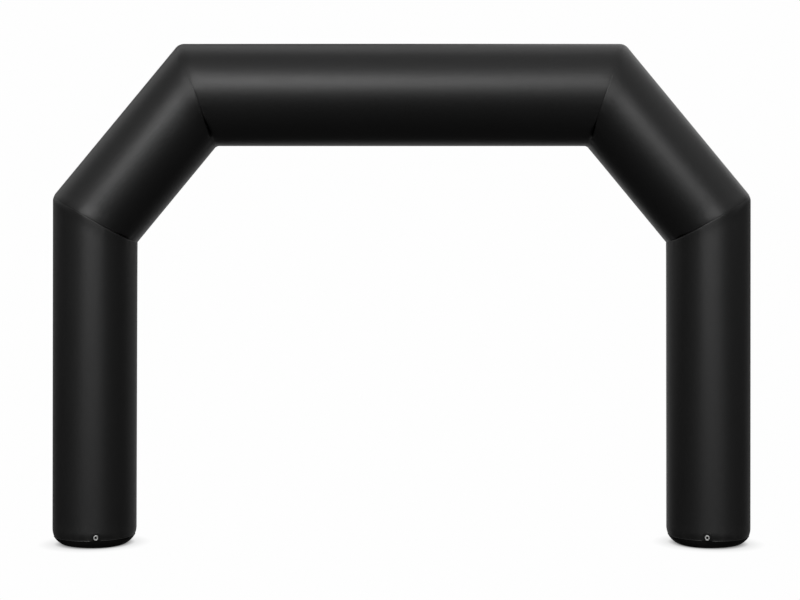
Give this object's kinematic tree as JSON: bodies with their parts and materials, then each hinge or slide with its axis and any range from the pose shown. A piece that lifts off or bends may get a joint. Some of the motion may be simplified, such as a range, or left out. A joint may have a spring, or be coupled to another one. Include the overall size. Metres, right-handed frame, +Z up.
{
  "type": "inflatable arch",
  "caption": "Free-standing inflatable arch: upright legs, sloping shoulders and a level beam of black air-filled fabric tube, with an eyelet ring at the foot of each leg.",
  "frame": {"origin": "on the ground, midway between the two legs, at the middle of the arch's depth", "axes": "+X across the arch from left leg to right leg as seen from the front, +Y towards the back, +Z up; the rings face -Y"},
  "size_m": [6.0002, 0.873, 4.2965],
  "materials": {
    "tube_fabric": "satin black coated fabric",
    "base_fabric": "dull black coated fabric",
    "tab_fabric": "matt black webbing",
    "ring_steel": "plain pale steel"
  },
  "bodies": {
    "root": {"beam": "tube_fabric", "leg_left": "tube_fabric", "leg_right": "tube_fabric", "slope_left": "tube_fabric", "slope_right": "tube_fabric", "base_left": "base_fabric", "base_right": "base_fabric", "anchor_tab_left": "tab_fabric", "anchor_tab_right": "tab_fabric", "anchor_ring_left": "ring_steel", "anchor_ring_right": "ring_steel"}
  },
  "joints": []
}
